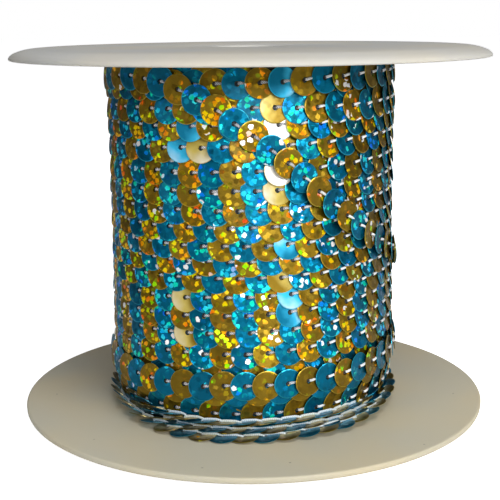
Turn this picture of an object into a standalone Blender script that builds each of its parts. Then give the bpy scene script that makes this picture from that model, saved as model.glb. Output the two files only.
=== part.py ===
"""Sequin trim wound in many turns on a moulded plastic spool. Metres, +Z up, front towards -Y."""

import math

import bmesh
import bpy
from mathutils import Vector

MM = 0.001

# Sizes of the spool in millimetres
FLANGE_RADIUS = 51.1
LOWER_THICK = 2.0
UPPER_THICK = 2.3
BETWEEN_FLANGES = 74.6
BARREL_RADIUS = 12.5
BORE_RADIUS = 8.0
HALF_GAP = 0.3
LATHE_STEPS = 96

# Sizes of the winding in millimetres
CLEAR = 0.3
COLUMNS = 60
WINDING_TOP = BETWEEN_FLANGES - CLEAR
MEAN_RADIUS = 30.7

# The rounded outer side of each flange: inset from the rim, distance from the inner face
LOWER_SIDE = [
    (0.0, 1.1),
    (0.5, 1.45),
    (1.3, 1.7),
    (2.6, 1.9),
    (4.5, LOWER_THICK),
]
UPPER_SIDE = [
    (0.0, 0.8),
    (0.8, 1.3),
    (1.8, 1.7),
    (3.2, 2.1),
    (5.0, UPPER_THICK),
]

# One row per turn, top to bottom: height of the turn's lower edge at the front above the lower flange,
# radius of that edge, radius of the turn below it where it tucks in
TURNS = [
    (WINDING_TOP, 30.6, 30.6),
    (70.9, 30.9, 30.4),
    (67.6, 30.9, 30.4),
    (63.0, 30.9, 30.3),
    (59.8, 30.8, 30.2),
    (55.6, 30.8, 30.1),
    (50.8, 30.7, 30.1),
    (47.0, 30.7, 30.1),
    (43.2, 30.7, 30.1),
    (39.8, 30.7, 30.1),
    (36.2, 30.8, 30.2),
    (33.1, 30.8, 30.2),
    (29.7, 30.9, 30.3),
    (26.0, 31.0, 30.4),
    (22.3, 31.1, 30.5),
    (18.7, 31.2, 30.6),
    (15.1, 31.2, 30.6),
    (12.0, 31.1, 30.6),
    (8.8, 31.3, 30.8),
    (6.1, 31.7, 31.2),
    (4.2, 32.0, 31.4),
    (2.9, 32.3, 31.6),
    (1.6, 32.8, 32.0),
    (CLEAR, 33.7, 33.7),
]
STEP_DROP = 0.15

# The last length of trim, which crosses over the others: degrees to the right of the front, height above
# the lower flange, how much of its thickness stands out of the winding
LAST_LENGTH = [
    (-110, 70.9, 0.3),
    (-75, 71.3, 0.8),
    (-45, 71.9, 1.0),
    (-34, 71.1, 1.0),
    (-22, 68.6, 1.0),
    (-12, 65.7, 1.0),
    (-6, 63.1, 1.0),
    (1, 60.8, 1.0),
    (7, 58.0, 1.0),
    (20, 52.1, 1.0),
    (31, 46.7, 1.0),
    (44, 41.7, 1.0),
    (58, 37.4, 1.0),
    (72, 34.3, 1.0),
    (110, 28.3, 1.0),
    (160, 21.9, 1.0),
    (210, 16.3, 1.0),
    (250, 12.9, 1.0),
    (285, 11.1, 1.0),
    (310, 10.9, 1.0),
    (360, 11.6, 1.0),
    (425, 12.9, 1.0),
    (470, 13.9, 1.0),
    (500, 14.7, 0.3),
]
LAST_STEP = 6

# Half section of the last length: across it, upwards, and out from the winding
LAST_SECTION = [
    (2.9, -1.2),
    (2.9, 0.3),
    (1.4, 0.75),
    (-1.6, 1.0),
    (-2.9, 0.85),
    (-2.9, -1.2),
]

LOWER_FACE = LOWER_THICK
UPPER_FACE = LOWER_THICK + BETWEEN_FLANGES
MIDDLE = LOWER_THICK + BETWEEN_FLANGES / 2


def clear_scene():
    for obj in list(bpy.data.objects):
        bpy.data.objects.remove(obj, do_unlink=True)


def make_material(name, colour, roughness, metallic):
    material = bpy.data.materials.new(name)
    material.use_nodes = True
    shader = material.node_tree.nodes["Principled BSDF"]
    shader.inputs["Base Color"].default_value = (*colour, 1.0)
    shader.inputs["Roughness"].default_value = roughness
    shader.inputs["Metallic"].default_value = metallic
    return material


def lathe(name, profile, material, group):
    """Turns a closed profile of (radius, height) millimetres, running down its outer side, about the Z axis."""
    points = [(radius * MM, 0.0, height * MM) for radius, height in profile]
    edges = [(n, (n + 1) % len(points)) for n in range(len(points))]
    mesh = bpy.data.meshes.new(name)
    mesh.from_pydata(points, edges, [])
    mesh.materials.append(material)
    obj = bpy.data.objects.new(name, mesh)
    group.objects.link(obj)
    screw = obj.modifiers.new("turned", "SCREW")
    screw.axis = "Z"
    screw.steps = LATHE_STEPS
    screw.render_steps = LATHE_STEPS
    screw.use_merge_vertices = True
    screw.merge_threshold = 0.00001
    screw.use_smooth_shade = False
    return obj


def flange_outside(face, outwards, rounded):
    """Points from the rim's inner edge to the rounded side's end, on the side that outwards gives, 1 up or -1 down."""
    return [(FLANGE_RADIUS, face)] + [
        (FLANGE_RADIUS - inset, face + outwards * depth) for inset, depth in rounded
    ]


def make_lower_half(material, group):
    outside = flange_outside(LOWER_FACE, -1, LOWER_SIDE)
    top = MIDDLE - HALF_GAP / 2
    profile = [(BORE_RADIUS, top), (BARREL_RADIUS, top), (BARREL_RADIUS, LOWER_FACE)]
    profile += outside
    profile += [(BORE_RADIUS, 0.0)]
    return lathe("spool_lower_half", profile, material, group)


def make_upper_half(material, group):
    outside = flange_outside(UPPER_FACE, 1, UPPER_SIDE)
    foot = MIDDLE + HALF_GAP / 2
    profile = [(BORE_RADIUS, UPPER_FACE + UPPER_THICK)]
    profile += outside[::-1]
    profile += [(BARREL_RADIUS, UPPER_FACE), (BARREL_RADIUS, foot), (BORE_RADIUS, foot)]
    return lathe("spool_upper_half", profile, material, group)


def between(rows, where, column):
    """Value of a column at a place between the rows, counted from 0, held at both ends."""
    where = min(max(where, 0.0), len(rows) - 1.0)
    low = min(int(where), len(rows) - 2)
    part = where - low
    return rows[low][column] * (1 - part) + rows[low + 1][column] * part


def around(angle, radius, height):
    """A point in metres at an angle to the right of the front."""
    return Vector(
        (
            radius * math.sin(angle) * MM,
            -radius * math.cos(angle) * MM,
            (LOWER_FACE + height) * MM,
        )
    )


def turn_points(turn, angle):
    """The edge of a turn and the tuck under it. A turn rises to the next one's height in once round."""
    where = turn - angle / (2 * math.pi)
    height = between(TURNS, where, 0)
    edge = between(TURNS, where, 1)
    tuck = between(TURNS, where, 2)
    drop = STEP_DROP * min(1.0, (edge - tuck) / 0.5)
    low = max(height - drop, CLEAR)
    return around(angle, edge, height), around(angle, tuck, low)


def place(bm, placed, point):
    """The point's vertex. Points that fall together at an end of the helix share one."""
    key = tuple(round(value / MM, 3) for value in point)
    if key not in placed:
        placed[key] = bm.verts.new(point)
    return placed[key]


def add_face(bm, corners):
    unique = []
    for corner in corners:
        if corner not in unique:
            unique.append(corner)
    if len(unique) > 2:
        bm.faces.new(unique)


def make_turns(bm):
    """A ring of helical turns from just above the lower flange to just below the upper one."""
    inner = BARREL_RADIUS + CLEAR
    placed = {}
    columns = []
    for column in range(COLUMNS):
        angle = 2 * math.pi * column / COLUMNS
        points = [around(angle, inner, WINDING_TOP)]
        for turn in range(len(TURNS) + 1):
            points += turn_points(turn, angle)
        points.append(around(angle, inner, CLEAR))
        columns.append([place(bm, placed, point) for point in points])
    last = len(columns[0]) - 1
    for column in range(COLUMNS):
        here = columns[column]
        after = columns[(column + 1) % COLUMNS]
        if column == COLUMNS - 1:
            after = after[:2] + after[1:2] + after[1:-3] + after[-1:]
        for level in range(last):
            add_face(bm, [here[level], here[level + 1], after[level + 1], after[level]])
        add_face(bm, [here[last], here[0], after[0], after[last]])


def last_length_row(degrees):
    """Height and part standing out of the last length at an angle."""
    for row, following in zip(LAST_LENGTH, LAST_LENGTH[1:]):
        if degrees <= following[0]:
            part = (degrees - row[0]) / (following[0] - row[0])
            return [a * (1 - part) + b * part for a, b in zip(row[1:], following[1:])]
    return list(LAST_LENGTH[-1][1:])


def radius_under(height):
    """Radius of the turns at a height, on their edges."""
    for row, following in zip(TURNS, TURNS[1:]):
        if height >= following[0]:
            part = (row[0] - height) / (row[0] - following[0])
            return row[1] * (1 - part) + following[1] * part
    return TURNS[-1][1]


def make_last_length(bm):
    """A flat band that follows the last length over the turns."""
    first = LAST_LENGTH[0][0]
    count = (LAST_LENGTH[-1][0] - first) // LAST_STEP
    rings = []
    for n in range(count + 1):
        degrees = first + n * LAST_STEP
        height, out = last_length_row(degrees)
        before = last_length_row(degrees - LAST_STEP)[0] if n else height
        after = last_length_row(degrees + LAST_STEP)[0] if n < count else height
        slope = math.atan2(after - before, 2 * math.radians(LAST_STEP) * MEAN_RADIUS)
        ring = []
        for across, outward in LAST_SECTION:
            angle = math.radians(degrees) - across * math.sin(slope) / MEAN_RADIUS
            rise = height + across * math.cos(slope)
            rise = min(rise, WINDING_TOP - 0.01)
            radius = radius_under(height) - 0.3 + outward - (1 - out)
            ring.append(bm.verts.new(around(angle, radius, rise)))
        rings.append(ring)
    size = len(LAST_SECTION)
    for ring, following in zip(rings, rings[1:]):
        for n in range(size):
            m = (n + 1) % size
            bm.faces.new([ring[n], ring[m], following[m], following[n]])
    bm.faces.new(rings[0][::-1])
    bm.faces.new(rings[-1])


def mesh_object(name, build, material, group):
    bm = bmesh.new()
    build(bm)
    bmesh.ops.triangulate(bm, faces=[face for face in bm.faces if len(face.verts) > 4])
    bmesh.ops.recalc_face_normals(bm, faces=bm.faces)
    mesh = bpy.data.meshes.new(name)
    bm.to_mesh(mesh)
    bm.free()
    mesh.materials.append(material)
    obj = bpy.data.objects.new(name, mesh)
    group.objects.link(obj)
    return obj


def make_winding(material, group, helpers):
    winding = mesh_object("winding", make_turns, material, group)
    band = mesh_object("last_length", make_last_length, material, helpers)
    band.hide_render = True
    band.display_type = "WIRE"
    joined = winding.modifiers.new("last length", "BOOLEAN")
    joined.operation = "UNION"
    joined.solver = "EXACT"
    joined.object = band
    return winding


def main():
    clear_scene()
    group = bpy.data.collections.new("sequin_trim_on_spool")
    helpers = bpy.data.collections.new("helpers")
    helpers.hide_render = True
    bpy.context.scene.collection.children.link(group)
    bpy.context.scene.collection.children.link(helpers)
    lower_plastic = make_material("lower_half_plastic", (0.72, 0.68, 0.58), 0.3, 0.0)
    upper_plastic = make_material("upper_half_plastic", (0.74, 0.72, 0.66), 0.3, 0.0)
    sequins = make_material("sequin_trim", (0.03, 0.30, 0.36), 0.35, 0.4)
    make_lower_half(lower_plastic, group)
    make_upper_half(upper_plastic, group)
    make_winding(sequins, group, helpers)


main()
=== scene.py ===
import math

import bpy
import numpy as np
from mathutils import Matrix, Vector


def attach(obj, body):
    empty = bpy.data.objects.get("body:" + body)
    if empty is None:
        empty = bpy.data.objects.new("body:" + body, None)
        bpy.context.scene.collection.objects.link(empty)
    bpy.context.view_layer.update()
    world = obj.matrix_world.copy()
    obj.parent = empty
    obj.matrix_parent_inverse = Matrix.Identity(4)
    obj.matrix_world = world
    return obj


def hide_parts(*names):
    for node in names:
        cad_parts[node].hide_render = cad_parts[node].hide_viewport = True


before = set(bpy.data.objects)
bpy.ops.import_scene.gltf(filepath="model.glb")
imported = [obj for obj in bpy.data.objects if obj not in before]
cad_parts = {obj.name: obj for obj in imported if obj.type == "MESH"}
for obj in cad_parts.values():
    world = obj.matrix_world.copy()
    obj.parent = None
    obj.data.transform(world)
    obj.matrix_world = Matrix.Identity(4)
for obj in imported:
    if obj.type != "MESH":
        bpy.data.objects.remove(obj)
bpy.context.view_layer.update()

MM = 0.001

# Sizes of the spool in millimetres, as in the solids
FLANGE_RADIUS = 51.1
LOWER_THICK = 2.0
UPPER_THICK = 2.3
BETWEEN_FLANGES = 74.6
BARREL_RADIUS = 12.5
BORE_RADIUS = 8.0
LOWER_FACE = LOWER_THICK
UPPER_FACE = LOWER_THICK + BETWEEN_FLANGES
MIDDLE = LOWER_THICK + BETWEEN_FLANGES / 2
# Each half of the spool ends this far from the middle, with a soft edge
HALF_GAP = 0.15
SOFT_EDGE = 0.1

# The inner side of both halves, from the barrel to the rim: radius, distance outwards from the inner face
INNER_SIDE = [
    (BARREL_RADIUS, -0.3),
    (BARREL_RADIUS + 0.1, -0.1),
    (BARREL_RADIUS + 0.3, 0.0),
    (30.0, 0.0),
    (FLANGE_RADIUS - 0.7, 0.0),
    (FLANGE_RADIUS - 0.3, 0.03),
    (FLANGE_RADIUS - 0.08, 0.12),
    (FLANGE_RADIUS, 0.28),
]
# The rounded outer side of each flange: inset from the rim, distance from the inner face
LOWER_SIDE = [
    (0.03, 0.95),
    (0.15, 1.2),
    (0.5, 1.45),
    (0.9, 1.6),
    (1.3, 1.7),
    (2.0, 1.83),
    (2.6, 1.9),
    (3.5, 1.97),
    (4.5, 2.0),
]
UPPER_SIDE = [
    (0.06, 0.55),
    (0.3, 0.9),
    (0.8, 1.28),
    (1.3, 1.52),
    (1.8, 1.7),
    (2.5, 1.93),
    (3.2, 2.1),
    (4.1, 2.24),
    (5.0, 2.3),
]
# The bore's edge: how much wider than the bore, depth below the outer side
BORE_EDGE = [(0.5, 0.0), (0.1, 0.1), (0.0, 0.4)]

# Sizes of the trim in millimetres. A sequin's face is flat out to FLAT_RADIUS and drops a little to its rim
SEQUIN_RADIUS = 3.0
FLAT_RADIUS = 2.8
MIDDLE_REACH = 2.75
RIM_DROP = 0.05
HOLE_RADIUS = 0.52
SEQUIN_THICK = 0.12
PITCH = 4.335
# The string's mean radius, at which its length is counted, and one turn at that radius
ARC_RADIUS = 30.48
ROUND = 2 * math.pi * ARC_RADIUS
# The lowest and highest that the trim reaches above the lower flange
LOWEST = 0.25
HIGHEST = BETWEEN_FLANGES - 0.2

# One row per upright turn, top to bottom: height of the holes at the front above the lower flange, how far right
# of the front one gold hole lies, radius of the holes, degrees that the faces look upwards
TURNS = [
    (73.7, 2.0, 30.3, 3.0),
    (70.7, 1.8, 30.6, 7.0),
    (66.0, 4.6, 30.5, 9.5),
    (62.8, 1.0, 30.4, 9.5),
    (58.6, -1.3, 30.3, 9.5),
    (53.8, -3.3, 30.3, 9.5),
    (50.0, -3.6, 30.3, 9.5),
    (46.2, -2.7, 30.3, 9.5),
    (42.8, 4.1, 30.3, 9.5),
    (39.2, 2.8, 30.3, 9.5),
    (36.1, -0.5, 30.3, 9.5),
    (32.7, -2.9, 30.4, 9.5),
    (29.0, 3.4, 30.5, 9.5),
    (25.3, 3.1, 30.6, 9.5),
    (21.7, 3.8, 30.6, 9.5),
    (17.4, 2.9, 30.7, 9.5),
    (14.8, 0.6, 29.5, 9.5),
    (12.0, 2.0, 29.9, 9.5),
    (9.6, 1.0, 30.9, 4.0),
    (4.6, 0.3, 30.3, -10.0),
]
# The lowest turn begins this many sequins before its gold one at the front
START_COUNT = 23
# How much higher the top turns run on the right, top to bottom
TOP_RISE = [0.0, 0.75, -0.75, -0.3]
# The turns between these heights swing up on the right and down on the left by this much
SWING_HEIGHTS = (4.9, 34.7)
SWING_EASE = 8
SWING = 0.9
# The upper flange hides what lies above this height, where the trim ends
TRIM_END = 73.35
# The layer below the turns: degrees further on, lower, nearer to the axis
UNDER_SHIFT = (3.1, 1.7, 1.0)

# The last turns lie flat on the lower flange, top to bottom: height of the holes, degrees right of the front where
# one gold hole lies, radius of the holes, degrees that the faces look upwards, share of the lowest turn's rise
FLAT_TURNS = [
    (3.05, 3.0, 31.0, 102.0, 0.7),
    (2.4, -3.0, 29.2, 97.0, 0.4),
    (1.45, 6.8, 30.8, 97.0, 0.4),
    (0.66, -3.5, 32.3, 86.0, 1.0),
]
FLAT_COUNT = 48
# Each flat turn passes into the one above it from here to the back, in degrees right of the front
FLAT_PASSES_FROM = 60

# How the flat turns run round the spool: degrees right of the front, rise of the lowest one, degrees that the
# tips are raised, how much wider the turns are
FLAT_COURSE = [
    (-180.0, 0.3, 8.0, 0.0),
    (-150.0, 0.4, 15.0, -0.7),
    (-120.0, 0.4, 34.0, -1.6),
    (-90.0, 0.4, 48.0, -2.1),
    (-70.0, 0.4, 46.0, -2.0),
    (-56.0, 0.3, 40.0, -1.4),
    (-48.0, 0.3, 30.0, -1.0),
    (-41.0, 0.2, 18.0, -0.7),
    (-34.0, 0.1, 6.0, -0.3),
    (-24.0, -0.1, 0.0, 0.1),
    (-14.0, -0.1, 0.0, 0.2),
    (0.0, 0.05, 0.0, 0.0),
    (15.0, 0.4, 0.0, -0.2),
    (30.0, 0.6, 3.0, -0.3),
    (45.0, 0.75, 8.0, -0.7),
    (60.0, 1.1, 22.0, -2.1),
    (90.0, 1.0, 32.0, -3.0),
    (130.0, 0.6, 16.0, -1.3),
    (180.0, 0.3, 8.0, 0.0),
]

# The last length of trim, which crosses over the others: degrees to the right of the front, height of the
# holes, radius of the holes
LAST_LENGTH = [
    (-110.0, 70.9, 30.6),
    (-75.0, 71.3, 31.1),
    (-50.0, 72.0, 31.4),
    (-34.0, 71.1, 31.5),
    (-26.3, 69.5, 31.5),
    (-18.8, 67.6, 31.5),
    (-12.2, 65.8, 31.5),
    (-5.6, 63.1, 31.5),
    (0.8, 60.8, 31.5),
    (7.0, 58.0, 31.5),
    (13.8, 55.1, 31.4),
    (19.6, 52.2, 31.4),
    (25.0, 49.5, 31.4),
    (31.4, 46.7, 31.4),
    (37.6, 44.0, 31.4),
    (44.0, 41.7, 31.4),
    (51.1, 39.2, 31.4),
    (58.7, 37.4, 31.4),
    (66.7, 35.6, 31.4),
    (90.0, 31.7, 31.4),
    (130.0, 25.9, 31.5),
    (180.0, 19.5, 31.6),
    (230.0, 14.3, 31.6),
    (270.0, 11.3, 31.6),
    (309.0, 10.3, 31.6),
    (340.0, 10.5, 31.6),
    (365.0, 11.0, 31.6),
    (395.0, 11.6, 31.6),
    (425.0, 12.4, 31.6),
    (470.0, 13.5, 31.5),
    (500.0, 14.7, 31.0),
]
# Degrees right of the front where one of its gold holes lies, and degrees that its faces look upwards
LAST_GOLD_AT = 0.8
LAST_LEAN = 5.0
# How far its sequins have slipped on along the string at the back, and the sequins over which they do
LAST_SLIP = 3.3
SLIP_FROM = 15
SLIP_OVER = 25

# How the sequins of each run are made: corners, rings between hole and rim, degrees that their left edges are
# raised, spread of their tilts in degrees
RUNS = {
    "turns": (28, 0, 5.5, 1.6),
    "last_length": (32, 0, 6.5, 2.0),
    "flat_turns": (28, 3, -6.0, 1.2),
    "under": (14, 0, 5.0, 3.0),
}

# Where a thread fills the hole of a sequin and runs over its face: along it, up, out from the face, half width
SHORT_STITCH = [
    (-0.44, 0.0, -0.42, 0.14),
    (-0.30, 0.0, -0.40, 0.38),
    (0.05, 0.0, -0.38, 0.42),
    (0.12, 0.08, 0.0, 0.26),
    (0.40, 0.12, 0.24, 0.31),
    (0.80, 0.12, 0.26, 0.27),
    (1.15, 0.10, 0.16, 0.21),
    (1.50, 0.05, -0.02, 0.14),
]
# The same on the right of the front, where the thread is drawn tight and lies longer on the face
RIGHT_STITCH = [
    (-0.30, 0.0, -0.42, 0.12),
    (-0.16, 0.0, -0.40, 0.34),
    (0.10, 0.02, -0.38, 0.38),
    (0.16, 0.08, 0.0, 0.24),
    (0.50, 0.16, 0.26, 0.27),
    (1.15, 0.26, 0.30, 0.25),
    (1.75, 0.30, 0.22, 0.21),
    (2.25, 0.26, 0.00, 0.14),
]
# The same on the flat turns, where the thread runs on from one sequin to the next
LONG_STITCH = [
    (-0.15, 0.0, 0.20, 0.24),
    (0.10, 0.0, 0.36, 0.27),
    (1.00, 0.0, 0.38, 0.28),
    (2.00, 0.0, 0.35, 0.27),
    (2.90, 0.0, 0.31, 0.26),
    (3.30, 0.0, 0.20, 0.25),
    (4.15, 0.0, -0.02, 0.24),
]
THREAD_SIDES = 6

# Sequins painted as plain mirrors, whose pale colour is a painted reflection: degrees right of the front, height
# above the lower flange, how pale
MIRRORS = [
    (11.0, 62.6, 1.2),
    (9.0, 53.4, 1.2),
    (9.5, 49.8, 0.5),
    (-18.5, 58.4, 0.5),
    (-27.0, 58.0, 0.4),
    (-22.5, 62.6, 0.35),
    (9.5, 66.0, 0.3),
    (12.5, 71.2, 0.35),
    (14.0, 39.0, 0.5),
    (-25.0, 28.2, 0.45),
    (-25.5, 20.6, 0.4),
    (15.5, 28.6, 0.45),
    (11.5, 32.2, 0.4),
    (14.5, 25.0, 0.45),
]
# A sequin this near to one of those places is the mirror. Past MIRROR_SIDES degrees one in fifty is one too
MIRROR_NEAR = 1.9
MIRROR_SIDES = 60
MIRROR_CHANCE = 0.98
MIRROR_PALE = 0.5
# Millimetres over which a mirror's paleness changes by 1
MIRROR_FADE = 9

# How the foil's painted light changes round the winding, in shares from 0 to 1. Painted shade takes its painted
# sparkle away beside the flanges, above and below these heights, and on the right, where painted shade also
# darkens it. On the left, where the light falls, it has more painted sparkle and fewer painted white glints
DULL_ABOVE = 67.5
DULL_BELOW = 16.5
SHADE_DULL_BESIDE = 0.8
SHADE_DULL_RIGHT = 0.45
PAINTED_SHADE_RIGHT = 0.45
PAINTED_SPARKLE_LEFT = 0.25
FEWER_PAINTED_GLINTS = 0.5
# The thread is paler on the right, and painted shade darkens it again at the edge
PAINTED_SHADE_EDGE = 0.55
# Where each of these sides begins and over how many degrees, away from the front
DULL_SIDE = (35, 40)
DARK_SIDE = (40, 25)
GLITTER_SIDE = (8, 25)
TIGHT_SIDE = (4, 26)
EDGE_SIDE = (46, 22)

# Millimetres by which the sequins stray across the string, the share of it outwards, and the millimetres by
# which the foil's pattern is moved on each
STRAY = 0.06
STRAY_OUT = 0.04
PATTERN_SPREAD = 40

# The foil's pattern, with scales per millimetre: round dots, bent a little, and clouds of lit dots and of hues
DOT_SCALE = 0.84
DOT_RANDOM = 0.55
DOT_EDGE = (0.41, 0.47)
DOT_TURN = 0.3
BEND_SCALE = 1.9
BEND = 0.4
CLOUD_SCALE = 0.40
HUE_SCALE = 0.3

# Colours of each foil: plain, in its darker parts, the painted highlight at the rim, the painted reflection in a
# mirror.
# The darker parts are random clouds and painted shade; on the backs the plain colour is a painted highlight
TEAL = ((0.0, 0.18, 0.32), (0.0, 0.085, 0.15), (0.04, 0.50, 0.65), (0.04, 0.50, 0.80))
GOLD = ((0.30, 0.185, 0.012), (0.135, 0.085, 0.006), (0.60, 0.45, 0.06), (0.64, 0.50, 0.12))
TEAL_BACK = ((0.24, 0.52, 0.66), (0.0, 0.11, 0.20), (0.05, 0.30, 0.40), (0.10, 0.40, 0.50))
GOLD_BACK = ((0.90, 0.78, 0.50), (0.17, 0.115, 0.02), (0.42, 0.34, 0.10), (0.55, 0.45, 0.20))
# The lowest chance at which a dot is painted bright as sparkle and the strongest painted glow of the others, on
# the faces and on the backs
FACE_GLITTER = (1.17, 0.22)
BACK_GLITTER = (1.35, 0.1)
# Colours that the dots may take
TEAL_DOTS = [
    (0.0, (0.0, 0.10, 0.90)),
    (0.3, (0.0, 0.28, 0.98)),
    (0.45, (0.0, 0.55, 0.90)),
    (0.57, (0.03, 0.72, 0.90)),
    (0.67, (0.0, 0.82, 0.42)),
    (0.8, (0.0, 0.72, 0.75)),
    (1.0, (0.1, 0.90, 1.0)),
]
GOLD_DOTS = [
    (0.0, (0.95, 0.06, 0.01)),
    (0.25, (1.0, 0.22, 0.0)),
    (0.45, (1.0, 0.50, 0.0)),
    (0.6, (1.0, 0.75, 0.0)),
    (0.75, (0.25, 0.85, 0.0)),
    (1.0, (1.0, 0.65, 0.0)),
]
WHITE = (1.0, 1.0, 1.0)

# Colours of each thread: in and on its twist, how strong the painted shade on it is in a hole, where it is pale,
# on gold
THREAD = ((0.20, 0.20, 0.22), (0.62, 0.62, 0.65), 1.0, (0.88, 0.90, 0.92), (1.0, 1.0, 0.97))
# The thread of the flat turns is a lit copy, made pale by painted light, with little painted shade in its holes
PAINTED_LIT_THREAD = ((0.50, 0.60, 0.66), (0.74, 0.82, 0.87), 0.2, (0.78, 0.86, 0.92), (1.0, 0.94, 0.80))

# The layers under the sequins, painted in deep shade: radius, distance from the flanges and the barrel, colours
CORE_RADIUS = 29.2
CORE_GAP = 0.3
CORE_COLOURS = [(0.3, (0.004, 0.012, 0.015)), (0.5, (0.006, 0.035, 0.045)), (0.7, (0.035, 0.024, 0.008))]

# Tints of the milky plastic, and what its cooler and warmer clouds multiply them by
LOWER_TINT = (0.60, 0.55, 0.42)
UPPER_TINT = (0.58, 0.565, 0.52)
COOLER = (0.95, 0.98, 1.02)
WARMER = (1.05, 1.01, 0.93)

# The stage: the floor's half side in metres and its colour, the room's light
FLOOR_REACH = 4.0
FLOOR_COLOUR = (0.93, 0.93, 0.93, 1.0)
FLOOR_GLOW = 0.9
ROOM_LIGHT = (0.11, 0.11, 0.115)
# The lamps all face the spool: name, place in metres, width and height, watts
LAMP_TARGET = (0, 0, 0.04)
LAMPS = [
    ("key", (0.40, -0.78, 0.36), (1.0, 0.25), 7.6),
    ("fill", (-0.7, -0.6, 0.3), (0.3, 0.4), 0.5),
    ("top", (0.15, -0.45, 0.95), (0.5, 0.4), 3.7),
    ("back", (-0.1, 0.95, 0.75), (1.0, 0.5), 1.1),
]
# The camera: place in metres, degrees that it looks down, is rolled and is turned to the right, lens
CAMERA_PLACE = (0, -0.23875, 0.08506)
CAMERA_DOWN = 12.07
CAMERA_ROLL = -0.576
CAMERA_TURN = -0.12
CAMERA_LENS = 78.6


def around(degrees, radius, height):
    """A point in metres, degrees to the right of the front, at a height above the lower flange."""
    angle = math.radians(degrees)
    return np.array([radius * math.sin(angle), -radius * math.cos(angle), LOWER_FACE + height]) * MM


def axes_at(degrees, climb):
    """Unit vectors along the string to the right, across it upwards, and outwards."""
    angle = math.radians(degrees)
    side = np.array([math.cos(angle), math.sin(angle), 0.0])
    out = np.array([math.sin(angle), -math.cos(angle), 0.0])
    up = np.array([0.0, 0.0, 1.0])
    along = side * math.cos(climb) + up * math.sin(climb)
    across = up * math.cos(climb) - side * math.sin(climb)
    return along, across, out


def leaning(along, across, out, over, back):
    """The same axes with the lower edge raised by the angle back and then the left edge raised by over."""
    across, out = (
        across * math.cos(back) - out * math.sin(back),
        out * math.cos(back) + across * math.sin(back),
    )
    along, out = (
        along * math.cos(over) - out * math.sin(over),
        out * math.cos(over) + along * math.sin(over),
    )
    return along, across, out


def between(rows, where, column):
    """A column's value at a place between two rows."""
    where = min(max(where, 0.0), len(rows) - 1.0)
    low = min(int(where), len(rows) - 2)
    part = where - low
    return rows[low][column] * (1 - part) + rows[low + 1][column] * part


def smooth_step(value):
    value = min(max(value, 0.0), 1.0)
    return value * value * (3 - 2 * value)


def one_side(degrees, side):
    """Grows from 0 to 1 on the right of the front, where the side begins, and is 0 again at the back."""
    start, width = side
    return smooth_step((degrees - start) / width) * smooth_step((150 - degrees) / 40)


def wrapped(degrees):
    """The same direction, from -180 up to 180 degrees."""
    return (degrees + 180) % 360 - 180


def turn_place(turn, degrees):
    """Height, radius and lean of a turn, whose row holds at the front. Turns climb from left to right."""
    where = turn - degrees / 360
    height = between(TURNS, where, 0)
    low, high = SWING_HEIGHTS
    swing = SWING * smooth_step((high - height) / SWING_EASE) * smooth_step((height - low) / SWING_EASE)
    height += swing * math.sin(math.radians(degrees))
    if 0 < turn < len(TOP_RISE):
        height += TOP_RISE[turn] * smooth_step(degrees / 45) * smooth_step((180 - degrees) / 60)
    return height, between(TURNS, where, 2), between(TURNS, where, 3)


def turn_sequins():
    """Every sequin of the turns, from the foot up: degrees, height, radius, climb, lean, whether it is gold."""
    places = []
    for turn in range(len(TURNS) - 1, 0, -1):
        start = TURNS[turn][1]
        length = ROUND + TURNS[turn - 1][1] - start
        count = 2 * round(length / PITCH / 2)
        spare = length - count * PITCH
        for n in range(count):
            arc = start + n * PITCH + spare * smooth_step((n / count - 0.2) / 0.6)
            places.append(turn_sequin(turn, arc, n))
    for n in range(1, START_COUNT + 1):
        places.append(turn_sequin(len(TURNS) - 1, TURNS[-1][1] - n * PITCH, n))
    return places


def turn_sequin(turn, arc, n):
    degrees = math.degrees(arc / ARC_RADIUS)
    height, radius, lean = turn_place(turn, degrees)
    ahead = turn_place(turn, degrees + 2)[0]
    climb = math.atan2(ahead - height, math.radians(2) * ARC_RADIUS)
    return degrees, height, radius, climb, lean, n % 2 == 0


def flat_sequins():
    """The sequins of the turns that lie flat, with the same columns."""
    places = []
    course = np.array(FLAT_COURSE)
    for turn, (height, start, radius, lean, share) in enumerate(FLAT_TURNS):
        next_height, _, next_radius, _, _ = FLAT_TURNS[max(turn - 1, 0)]
        for n in range(FLAT_COUNT):
            degrees = wrapped(start + n * 360 / FLAT_COUNT)
            rise, raised, wider = (float(np.interp(degrees, course[:, 0], course[:, k])) for k in (1, 2, 3))
            part = smooth_step((degrees - FLAT_PASSES_FROM) / (180 - FLAT_PASSES_FROM))
            level = height * (1 - part) + next_height * part + rise * share
            reach = radius * (1 - part) + next_radius * part + wider
            places.append((degrees, level, reach, 0.0, lean + raised, n % 2 == 0))
    return places


def last_place(degrees):
    """Height and radius of the last length."""
    columns = np.array(LAST_LENGTH)
    height = np.interp(degrees, columns[:, 0], columns[:, 1])
    radius = np.interp(degrees, columns[:, 0], columns[:, 2])
    return float(height), float(radius)


def last_sequins():
    """The sequins of the last length, with the same columns, one pitch apart along it."""
    degrees = np.arange(LAST_LENGTH[0][0], LAST_LENGTH[-1][0], 0.25)
    points = [around(d, last_place(d)[1], last_place(d)[0]) / MM for d in degrees]
    steps = np.linalg.norm(np.diff(points, axis=0), axis=1)
    along = np.concatenate([[0], np.cumsum(steps)])
    zero = np.interp(LAST_GOLD_AT, degrees, along)
    first = -int(zero / PITCH)
    last = int((along[-1] - zero) / PITCH)
    places = []
    for n in range(first, last + 1):
        slip = LAST_SLIP * smooth_step((n - SLIP_FROM) / SLIP_OVER)
        where = float(np.interp(zero + n * PITCH + slip, along, degrees))
        height, radius = last_place(where)
        rise = last_place(where + 3)[0] - last_place(where - 3)[0]
        climb = math.atan2(rise, math.radians(6) * radius)
        places.append((where, height, radius, climb, LAST_LEAN, n % 2 == 0))
    return places


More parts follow.
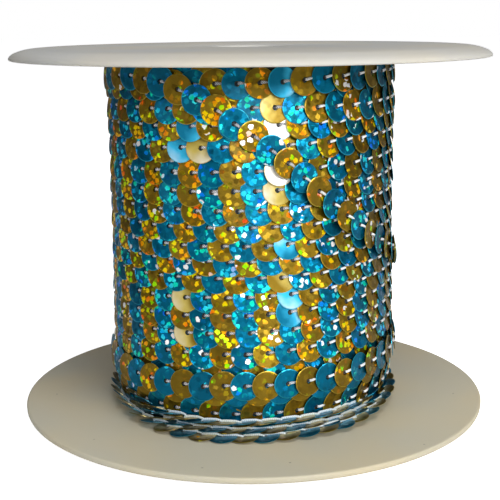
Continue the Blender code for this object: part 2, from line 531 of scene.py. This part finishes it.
def mesh_object(name, points, faces, material):
    """A new object in the scene, of one mesh and one material."""
    mesh = bpy.data.meshes.new(name)
    mesh.from_pydata(points, [], faces)
    mesh.materials.append(material)
    obj = bpy.data.objects.new(name, mesh)
    bpy.context.scene.collection.objects.link(obj)
    return obj


class MeshParts:
    """Collects points, faces, face coordinates and tones of many small pieces for one mesh."""

    def __init__(self):
        self.points = []
        self.faces = []
        self.coords = []
        self.tones = []
        self.count = 0

    def add(self, points, faces, coords, tones):
        self.points.append(points)
        self.coords.append(coords)
        self.tones.append(tones)
        self.faces += [[corner + self.count for corner in face] for face in faces]
        self.count += len(points)

    def make(self, name, material):
        obj = mesh_object(name, np.concatenate(self.points).tolist(), self.faces, material)
        mesh = obj.data
        coords = np.concatenate(self.coords)
        layer = mesh.uv_layers.new(name="face_mm")
        corners = np.empty(len(mesh.loops), dtype=np.int32)
        mesh.loops.foreach_get("vertex_index", corners)
        layer.data.foreach_set("uv", coords[corners].astype(np.float32).ravel())
        colours = mesh.color_attributes.new("tone", "FLOAT_COLOR", "POINT")
        colours.data.foreach_set("color", np.concatenate(self.tones).astype(np.float32).ravel())
        return obj


def sequin_pattern(sides, middle_rings):
    """Rings of one sequin as (across, up, out) in millimetres, its faces, and tones that mark its rim."""
    angles = 2 * math.pi * np.arange(sides) / sides
    face = SEQUIN_THICK / 2
    reach = MIDDLE_REACH - HOLE_RADIUS
    rings = [(HOLE_RADIUS, face)]
    rings += [(HOLE_RADIUS + reach * n / (middle_rings + 1), face) for n in range(1, middle_rings + 1)]
    rings += [(FLAT_RADIUS, face), (SEQUIN_RADIUS, face - RIM_DROP)]
    rings += [(SEQUIN_RADIUS, -face), (HOLE_RADIUS, -face)]
    points = [(radius * math.cos(a), radius * math.sin(a), out) for radius, out in rings for a in angles]
    faces = []
    for ring in range(len(rings)):
        after = (ring + 1) % len(rings)
        for n in range(sides):
            m = (n + 1) % sides
            faces.append([ring * sides + n, after * sides + n, after * sides + m, ring * sides + m])
    rim = np.zeros((len(points), 4))
    rim[(len(rings) - 3) * sides : (len(rings) - 1) * sides, 3] = 1.0
    return np.array(points), faces, rim


def stitch_pattern(line):
    """A short run of thread as (across, up, out) in millimetres, and its faces."""
    steps, sides = len(line), THREAD_SIDES
    points = []
    for along, up, out, wide in line:
        for m in range(sides):
            angle = 2 * math.pi * m / sides
            points.append((along, up + wide * math.cos(angle), out + wide * math.sin(angle)))
    faces = []
    for n in range(steps - 1):
        for m in range(sides):
            k = (m + 1) % sides
            faces.append([n * sides + m, (n + 1) * sides + m, (n + 1) * sides + k, n * sides + k])
    faces.append(list(range(sides)))
    faces.append([(steps - 1) * sides + m for m in range(sides)][::-1])
    return np.array(points), faces


def set_in_place(pattern, centre, along, across, out):
    """The pattern's points in metres, kept between the flanges."""
    points = centre + (pattern[:, :1] * along + pattern[:, 1:2] * across + pattern[:, 2:] * out) * MM
    low = (LOWER_FACE + LOWEST) * MM
    high = (LOWER_FACE + HIGHEST) * MM
    points[:, 2] = np.clip(points[:, 2], low, high)
    return points


def painted_shade_dulling(degrees, height):
    """How much less a sequin glitters beside the flanges and on the right: painted shade that takes its painted
    sparkle away.
    """
    beside = max(smooth_step((height - DULL_ABOVE) / 2.5), smooth_step((DULL_BELOW - height) / 3))
    return SHADE_DULL_BESIDE * beside + SHADE_DULL_RIGHT * one_side(degrees, DULL_SIDE)


def painted_reflection_paleness(degrees, height, chance):
    """How pale the painted reflection on a plain mirror sequin is, or None for the others."""
    for at, level, shine in MIRRORS:
        if math.hypot((degrees - at) * ARC_RADIUS * math.pi / 180, height - level) < MIRROR_NEAR:
            return shine
    return MIRROR_PALE if abs(degrees) > MIRROR_SIDES and chance > MIRROR_CHANCE else None


def sequin_tones(disc, rim, degrees, height, flat, rng):
    """Tones of a sequin's points: how much it glitters, how dark it is, its share of white dots, and its rim.

    The third is 1 for a plain mirror, whose second says how pale its painted reflection is. The flat turns show
    the backs of their sequins, with a painted highlight from the hole inwards that darkens into painted shade at
    the outer edge.
    """
    glitter, dark, white = rng.uniform(0, 1, 3)
    slope = rng.uniform(0, 2 * math.pi)
    # Painted light by place: more painted sparkle and fewer painted white glints on the left, painted shade on the
    # right
    left = one_side(-degrees, GLITTER_SIDE)
    glitter += PAINTED_SPARKLE_LEFT * left - painted_shade_dulling(degrees, height)
    dark += PAINTED_SHADE_RIGHT * one_side(degrees, DARK_SIDE)
    white *= 1 - FEWER_PAINTED_GLINTS * left
    shine = painted_reflection_paleness(degrees, height, white)
    tones = np.array([glitter, dark, white * 0.97, 0.0]) + rim
    if shine is not None:
        tones[:, 2] = 1.0
        tones[:, 1] = shine + (disc[:, 0] * math.cos(slope) + disc[:, 1] * math.sin(slope)) / MIRROR_FADE
    elif flat:
        # Painted highlight by the hole, darkening into painted shade at the outer edge
        tones[:, 1] = dark * 0.5 - 0.7 - disc[:, 1] / 1.1
    return tones


def add_string(places, sets, stitches, line, rng, sides, middle_rings, over, jitter):
    """Adds a run of sequins to the gold and teal sets, and the stitches between them."""
    disc, disc_faces, rim = sequin_pattern(sides, middle_rings)
    stitch, stitch_faces = stitch_pattern(line)
    flat = line is LONG_STITCH
    tight, _ = stitch_pattern(line if flat else RIGHT_STITCH)
    for degrees, height, radius, climb, lean, gold in places:
        along, across, out = axes_at(degrees, climb)
        tilt = math.radians(over + rng.normal(0, jitter))
        back = math.radians(lean + rng.normal(0, jitter))
        along, across, out = leaning(along, across, out, tilt, back)
        shift = rng.normal(0, STRAY, 3)
        centre = around(degrees, radius + STRAY_OUT * shift[0], height + shift[1])
        turn = rng.uniform(0, 2 * math.pi)
        spin = np.array([[math.cos(turn), math.sin(turn)], [-math.sin(turn), math.cos(turn)]])
        coords = disc[:, :2] @ spin + rng.uniform(-PATTERN_SPREAD, PATTERN_SPREAD, 2)
        degrees = wrapped(degrees)
        tones = sequin_tones(disc, rim, degrees, height, flat, rng)
        points = set_in_place(disc, centre, along, across, out)
        sets[gold].add(points, disc_faces, coords, tones)
        if stitches is None:
            continue
        right = one_side(degrees, TIGHT_SIDE)
        # Painted shade on the thread at the right edge
        edge_shade = 1 - PAINTED_SHADE_EDGE * smooth_step((degrees - EDGE_SIDE[0]) / EDGE_SIDE[1])
        pale = tones[0, 0] if flat else right * edge_shade
        points = set_in_place(stitch * (1 - right) + tight * right, centre, along, across, out)
        stitch_tone = np.array([pale, float(gold), 0.0, 0.0])
        stitches.add(points, stitch_faces, stitch[:, :2], np.tile(stitch_tone, (len(stitch), 1)))


def new_material(name):
    material = bpy.data.materials.new(name)
    material.use_nodes = True
    tree = material.node_tree
    return material, tree, tree.nodes["Principled BSDF"]


def add_node(tree, kind, **settings):
    node = tree.nodes.new(kind)
    for key, value in settings.items():
        setattr(node, key, value)
    return node


def math_node(tree, operation, first, second=None, third=None):
    """The result of one sum on numbers or outputs of other nodes."""
    node = add_node(tree, "ShaderNodeMath", operation=operation)
    for socket, value in zip(node.inputs, (first, second, third)):
        if value is None:
            continue
        if isinstance(value, (int, float)):
            socket.default_value = value
        else:
            tree.links.new(value, socket)
    return node.outputs[0]


def mix_colours(tree, factor, first, second, blend="MIX"):
    node = add_node(tree, "ShaderNodeMix", data_type="RGBA", blend_type=blend)
    for socket, value in ((node.inputs[0], factor), (node.inputs[6], first), (node.inputs[7], second)):
        if isinstance(value, (int, float)):
            socket.default_value = value
        elif isinstance(value, tuple):
            socket.default_value = (*value, 1.0)
        else:
            tree.links.new(value, socket)
    return node.outputs[2]


def ramp(tree, value, stops):
    node = add_node(tree, "ShaderNodeValToRGB")
    elements = node.color_ramp.elements
    while len(elements) < len(stops):
        elements.new(0.5)
    for element, (position, colour) in zip(elements, stops):
        element.position = position
        element.color = (*colour, 1.0)
    tree.links.new(value, node.inputs[0])
    return node.outputs[0]


def map_range(tree, value, low, high, kind="SMOOTHSTEP"):
    """Grows from 0 at low to 1 at high."""
    node = add_node(tree, "ShaderNodeMapRange", interpolation_type=kind, clamp=True)
    tree.links.new(value, node.inputs[0])
    node.inputs[1].default_value = low
    node.inputs[2].default_value = high
    return node.outputs[0]


def flat_noise(tree, coords, scale, detail=0.0):
    """Noise on the face coordinates of the sequins."""
    node = add_node(tree, "ShaderNodeTexNoise", noise_dimensions="2D")
    node.inputs["Scale"].default_value = scale
    node.inputs["Detail"].default_value = detail
    tree.links.new(coords, node.inputs["Vector"])
    return node.outputs


def solid_noise(tree, coords, scale, detail):
    """Noise through a whole object."""
    node = add_node(tree, "ShaderNodeTexNoise")
    node.inputs["Scale"].default_value = scale
    node.inputs["Detail"].default_value = detail
    tree.links.new(coords, node.inputs["Vector"])
    return node.outputs[0]


def split_colour(tree, colour):
    node = add_node(tree, "ShaderNodeSeparateColor")
    tree.links.new(colour, node.inputs[0])
    return node.outputs


def read_tone(tree):
    """The three tones of a piece, and the mark of its rim."""
    tone = add_node(tree, "ShaderNodeVertexColor", layer_name="tone")
    return split_colour(tree, tone.outputs[0]), tone.outputs[1]


def dot_pattern(tree, coords):
    """Round dots on the foil: how far a point is inside one, and random numbers of the dot's own."""
    moved = add_node(tree, "ShaderNodeVectorMath", operation="MULTIPLY_ADD")
    tree.links.new(flat_noise(tree, coords, BEND_SCALE)["Color"], moved.inputs[0])
    moved.inputs[1].default_value = (BEND, BEND, 0.0)
    tree.links.new(coords, moved.inputs[2])
    dots = add_node(tree, "ShaderNodeTexVoronoi", voronoi_dimensions="2D", feature="F1")
    dots.inputs["Scale"].default_value = DOT_SCALE
    dots.inputs["Randomness"].default_value = DOT_RANDOM
    tree.links.new(moved.outputs[0], dots.inputs["Vector"])
    outside = map_range(tree, dots.outputs["Distance"], *DOT_EDGE)
    return math_node(tree, "SUBTRACT", 1.0, outside), dots.outputs["Color"]


def turned_normal(tree, own_way, amount):
    """The surface's normal, turned by an amount into a dot's own random way."""
    spread = add_node(tree, "ShaderNodeVectorMath", operation="SUBTRACT")
    tree.links.new(own_way, spread.inputs[0])
    spread.inputs[1].default_value = (0.5, 0.5, 0.5)
    scaled = add_node(tree, "ShaderNodeVectorMath", operation="SCALE")
    tree.links.new(spread.outputs[0], scaled.inputs[0])
    tree.links.new(amount, scaled.inputs["Scale"])
    turned = add_node(tree, "ShaderNodeVectorMath", operation="ADD")
    tree.links.new(add_node(tree, "ShaderNodeNewGeometry").outputs["Normal"], turned.inputs[0])
    tree.links.new(scaled.outputs[0], turned.inputs[1])
    unit = add_node(tree, "ShaderNodeVectorMath", operation="NORMALIZE")
    tree.links.new(turned.outputs[0], unit.inputs[0])
    return unit.outputs[0]


def sequin_material(name, colours, dot_stops, glitter):
    """Coloured foil with a fine pattern of round dots. Each dot faces its own way, so it catches its own light.

    Some dots are painted bright as sparkle, and a few white as painted glints.
    """
    foil, foil_dark, rim_highlight, mirror = colours
    lit_from, glow_most = glitter
    material, tree, shader = new_material(name)
    coords = add_node(tree, "ShaderNodeUVMap", uv_map="face_mm").outputs[0]
    tones, rim = read_tone(tree)
    inside, own_way = dot_pattern(tree, coords)
    own = split_colour(tree, own_way)
    cloud = flat_noise(tree, coords, CLOUD_SCALE, 1.0)[0]

    # Which dots are painted bright as sparkle or glow faintly, and in which colour
    chance = math_node(tree, "MULTIPLY_ADD", cloud, 1.2, math_node(tree, "MULTIPLY", own[1], 0.6))
    chance = math_node(tree, "MULTIPLY_ADD", tones[0], 0.25, chance)
    lit = math_node(tree, "MULTIPLY", map_range(tree, chance, lit_from, lit_from + 0.04), inside)
    glow = math_node(tree, "MULTIPLY", map_range(tree, chance, 0.88, 1.1), glow_most)
    hue = map_range(tree, flat_noise(tree, coords, HUE_SCALE)["Color"], 0.25, 0.75, "LINEAR")
    hue = math_node(tree, "MULTIPLY", hue, 0.5)
    dot_colour = ramp(tree, math_node(tree, "MULTIPLY_ADD", own[0], 0.5, hue), dot_stops)

    # The foil between them, darker in its clouds and by the sequin's own tone, which carries painted shade on the
    # right
    shade = math_node(tree, "MULTIPLY_ADD", cloud, -0.6, 0.8)
    shade = math_node(tree, "MULTIPLY_ADD", tones[1], 0.5, math_node(tree, "SUBTRACT", shade, 0.25))
    colour = mix_colours(tree, shade, foil, foil_dark)
    colour = mix_colours(tree, math_node(tree, "MULTIPLY", glow, inside), colour, dot_colour)

    # The brightest dots are painted white glints on some sequins
    brightest = map_range(tree, chance, lit_from + 0.03, lit_from + 0.08)
    glint = math_node(tree, "MULTIPLY", map_range(tree, own[2], 0.66, 0.69), brightest)
    glint = math_node(tree, "MULTIPLY", glint, map_range(tree, tones[2], 0.38, 0.42))
    colour = mix_colours(tree, lit, colour, mix_colours(tree, glint, dot_colour, WHITE))

    # A plain mirror has no dots; its colour grades towards near white as a painted reflection
    sheet = map_range(tree, tones[2], 0.98, 0.99)
    shine = math_node(tree, "MULTIPLY_ADD", cloud, 0.3, math_node(tree, "SUBTRACT", tones[1], 0.15))
    pale = tuple(0.55 * c + 0.45 for c in mirror)
    painted_reflection = ramp(tree, shine, [(0.25, foil), (0.5, mirror), (0.8, pale), (1.0, (1.0, 0.98, 0.92))])
    colour = mix_colours(tree, sheet, colour, painted_reflection)
    # Painted highlight on the rim, stronger on sequins with more white dots
    edge = math_node(tree, "MULTIPLY", rim, math_node(tree, "MULTIPLY_ADD", tones[2], 0.6, 0.3))
    colour = mix_colours(tree, edge, colour, rim_highlight)

    bright = math_node(tree, "MAXIMUM", lit, sheet)
    dotted = math_node(tree, "MULTIPLY", inside, math_node(tree, "SUBTRACT", 1.0, sheet))
    normal = turned_normal(tree, own_way, math_node(tree, "MULTIPLY", dotted, DOT_TURN))
    tree.links.new(colour, shader.inputs["Base Color"])
    tree.links.new(math_node(tree, "MULTIPLY_ADD", bright, -0.4, 0.8), shader.inputs["Metallic"])
    tree.links.new(math_node(tree, "MULTIPLY_ADD", inside, -0.14, 0.44), shader.inputs["Roughness"])
    tree.links.new(normal, shader.inputs["Normal"])
    shader.inputs["Specular IOR Level"].default_value = 0.15
    shader.inputs["Coat Weight"].default_value = 0.07
    shader.inputs["Coat Roughness"].default_value = 0.15
    return material


def thread_material(name, dark, light, hole_shade, pale, on_gold):
    """Twisted thread. The first tone says how pale a stitch is and the second whether it lies on gold."""
    material, tree, shader = new_material(name)
    twist = add_node(tree, "ShaderNodeTexWave", wave_type="BANDS", bands_direction="DIAGONAL")
    twist.inputs["Scale"].default_value = 1.6
    coords = add_node(tree, "ShaderNodeUVMap", uv_map="face_mm").outputs[0]
    tree.links.new(coords, twist.inputs["Vector"])
    along = add_node(tree, "ShaderNodeSeparateXYZ")
    tree.links.new(coords, along.inputs[0])
    # Painted shade on the thread where it runs into a hole
    in_hole = math_node(tree, "SUBTRACT", 1.0, map_range(tree, along.outputs[0], 0.06, 0.16))
    tones, _ = read_tone(tree)
    colour = ramp(tree, twist.outputs[0], [(0.2, dark), (0.8, light)])
    colour = mix_colours(tree, tones[0], colour, pale)
    colour = mix_colours(tree, math_node(tree, "MULTIPLY", tones[1], 0.7), colour, on_gold, "MULTIPLY")
    colour = mix_colours(tree, math_node(tree, "MULTIPLY", in_hole, hole_shade), colour, (0.02, 0.02, 0.025))
    tree.links.new(colour, shader.inputs["Base Color"])
    shader.inputs["Roughness"].default_value = 0.4
    shader.inputs["Sheen Weight"].default_value = 0.2
    return material


def core_material():
    """Deep shade with a little of both foils' colours."""
    material, tree, shader = new_material("inner_layers")
    coords = add_node(tree, "ShaderNodeTexCoord").outputs["Object"]
    tree.links.new(ramp(tree, solid_noise(tree, coords, 260, 2.0), CORE_COLOURS), shader.inputs["Base Color"])
    shader.inputs["Roughness"].default_value = 0.45
    return material


def plastic_material(name, tint):
    """Milky moulded plastic with faint cloudy tints, a few specks and a half gloss."""
    material, tree, shader = new_material(name)
    coords = add_node(tree, "ShaderNodeTexCoord").outputs["Object"]
    cloud = solid_noise(tree, coords, 55, 0.5)
    cool, warm = (tuple(c * f for c, f in zip(tint, factors)) for factors in (COOLER, WARMER))
    colour = mix_colours(tree, map_range(tree, cloud, 0.2, 0.8), cool, warm)
    specks = add_node(tree, "ShaderNodeTexVoronoi", feature="F1")
    specks.inputs["Scale"].default_value = 150
    tree.links.new(coords, specks.inputs["Vector"])
    speck = math_node(tree, "LESS_THAN", specks.outputs["Distance"], 0.035)
    colour = mix_colours(tree, speck, colour, tuple(c * 0.6 for c in tint))
    tree.links.new(colour, shader.inputs["Base Color"])
    tree.links.new(math_node(tree, "MULTIPLY_ADD", cloud, 0.12, 0.42), shader.inputs["Roughness"])
    shader.inputs["Subsurface Weight"].default_value = 0.25
    shader.inputs["Subsurface Radius"].default_value = (0.004, 0.004, 0.003)
    shader.inputs["IOR"].default_value = 1.45
    shader.inputs["Specular IOR Level"].default_value = 0.3
    return material


def lathe(name, profile, material, steps=192):
    """Turns a closed profile of (radius, height) millimetres into a smooth ring."""
    points = []
    for n in range(steps):
        angle = 2 * math.pi * n / steps
        for radius, height in profile:
            points.append((radius * math.cos(angle) * MM, radius * math.sin(angle) * MM, height * MM))
    size = len(profile)
    faces = []
    for n in range(steps):
        m = (n + 1) % steps
        for k in range(size):
            j = (k + 1) % size
            faces.append([n * size + k, n * size + j, m * size + j, m * size + k])
    obj = mesh_object(name, points, faces, material)
    obj.data.polygons.foreach_set("use_smooth", [True] * len(faces))
    obj.data.update()
    return obj


def half_profile(face, outwards, thick, rounded):
    """Closed profile of one spool half. outwards is 1 for the upper half and -1 for the lower one."""
    end = MIDDLE + outwards * HALF_GAP
    section = [(BORE_RADIUS, end), (BARREL_RADIUS - SOFT_EDGE, end), (BARREL_RADIUS, end + outwards * SOFT_EDGE)]
    sides = INNER_SIDE + [(FLANGE_RADIUS - inset, depth) for inset, depth in rounded]
    sides += [(BORE_RADIUS + wider, thick - below) for wider, below in BORE_EDGE]
    return section + [(radius, face + outwards * depth) for radius, depth in sides]


def build_spool():
    lower_profile = half_profile(LOWER_FACE, -1, LOWER_THICK, LOWER_SIDE)
    upper_profile = half_profile(UPPER_FACE, 1, UPPER_THICK, UPPER_SIDE)
    lower = lathe("lower_half", lower_profile, plastic_material("lower_plastic", LOWER_TINT))
    upper = lathe("upper_half", upper_profile, plastic_material("upper_plastic", UPPER_TINT))
    for obj, node, slot in (
        (lower, "spool_lower_half", "lower_half_plastic"),
        (upper, "spool_upper_half", "upper_half_plastic"),
    ):
        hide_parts(node)
        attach(obj, "root")


def build_trim():
    """The sequins of each run in gold and teal, their stitches, and the dark layers under them."""
    faces = (
        sequin_material("gold_foil", GOLD, GOLD_DOTS, FACE_GLITTER),
        sequin_material("teal_foil", TEAL, TEAL_DOTS, FACE_GLITTER),
    )
    backs = (
        sequin_material("gold_back", GOLD_BACK, GOLD_DOTS, BACK_GLITTER),
        sequin_material("teal_back", TEAL_BACK, TEAL_DOTS, BACK_GLITTER),
    )
    turns = turn_sequins()
    on, down, inwards = UNDER_SHIFT
    under = [(d + on, h - down, r - inwards, climb, lean, not gold) for d, h, r, climb, lean, gold in turns]
    turns = [place for place in turns if place[1] < TRIM_END]
    stitches, flat_stitches = MeshParts(), MeshParts()
    pieces = []
    rng = np.random.default_rng(1612)
    for name, places, thread, line, foils in (
        ("turns", turns, stitches, SHORT_STITCH, faces),
        ("last_length", last_sequins(), stitches, SHORT_STITCH, faces),
        ("flat_turns", flat_sequins(), flat_stitches, LONG_STITCH, backs),
        ("under", under, None, SHORT_STITCH, faces),
    ):
        sets = {True: MeshParts(), False: MeshParts()}
        add_string(places, sets, thread, line, rng, *RUNS[name])
        pieces.append(sets[True].make("gold_" + name, foils[0]))
        pieces.append(sets[False].make("teal_" + name, foils[1]))
    pieces.append(stitches.make("stitches", thread_material("thread", *THREAD)))
    pieces.append(flat_stitches.make("stitches_flat_turns", thread_material("painted_lit_thread", *PAINTED_LIT_THREAD)))
    low, high = LOWER_FACE + CORE_GAP, UPPER_FACE - CORE_GAP
    barrel = BARREL_RADIUS + CORE_GAP
    core_profile = [(barrel, low), (CORE_RADIUS, low), (CORE_RADIUS, high), (barrel, high)]
    pieces.append(lathe("inner_layers", core_profile, core_material(), 96))
    for piece in pieces:
        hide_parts("winding")
        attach(piece, "root")


def add_lamp(name, place, size, power):
    """A soft rectangular lamp that faces the spool."""
    data = bpy.data.lights.new(name, "AREA")
    data.shape = "RECTANGLE"
    data.size, data.size_y = size
    data.energy = power
    obj = bpy.data.objects.new(name, data)
    obj.location = place
    direction = Vector(LAMP_TARGET) - Vector(place)
    obj.rotation_euler = direction.to_track_quat("-Z", "Y").to_euler()
    bpy.context.scene.collection.objects.link(obj)


def build_stage():
    """A plain pale floor and a pale room. Both look brighter to the camera than they light the spool."""
    material, tree, shader = new_material("pale_floor")
    shader.inputs["Base Color"].default_value = FLOOR_COLOUR
    shader.inputs["Roughness"].default_value = 0.9
    shader.inputs["Emission Color"].default_value = (*WHITE, 1.0)
    seen = add_node(tree, "ShaderNodeLightPath").outputs["Is Camera Ray"]
    tree.links.new(math_node(tree, "MULTIPLY", seen, FLOOR_GLOW), shader.inputs["Emission Strength"])
    corners = [(-1, -1), (1, -1), (1, 1), (-1, 1)]
    points = [(x * FLOOR_REACH, y * FLOOR_REACH, 0) for x, y in corners]
    floor = mesh_object("floor", points, [[0, 1, 2, 3]], material)
    floor.location.z = -0.0001
    world = bpy.data.worlds.new("studio")
    bpy.context.scene.world = world
    world.use_nodes = True
    tree = world.node_tree
    seen = add_node(tree, "ShaderNodeLightPath").outputs["Is Camera Ray"]
    tree.links.new(mix_colours(tree, seen, ROOM_LIGHT, WHITE), tree.nodes["Background"].inputs[0])
    for lamp in LAMPS:
        add_lamp(*lamp)


def build_camera():
    """The camera of the photograph."""
    pitch, roll, yaw = math.radians(CAMERA_DOWN), math.radians(CAMERA_ROLL), math.radians(CAMERA_TURN)
    look = Vector((math.sin(yaw) * math.cos(pitch), math.cos(yaw) * math.cos(pitch), -math.sin(pitch)))
    right = Vector((math.cos(yaw), -math.sin(yaw), 0))
    up = right.cross(look)
    turned_right = right * math.cos(roll) + up * math.sin(roll)
    turned_up = up * math.cos(roll) - right * math.sin(roll)
    data = bpy.data.cameras.new("camera")
    data.lens = CAMERA_LENS
    data.sensor_width = 36
    data.clip_start = 0.01
    camera = bpy.data.objects.new("camera", data)
    matrix = Matrix((turned_right, turned_up, -look)).transposed().to_4x4()
    matrix.translation = Vector(CAMERA_PLACE)
    camera.matrix_world = matrix
    bpy.context.scene.collection.objects.link(camera)
    bpy.context.scene.camera = camera


build_spool()
build_trim()
build_stage()
build_camera()
bpy.context.scene.view_settings.view_transform = "Standard"
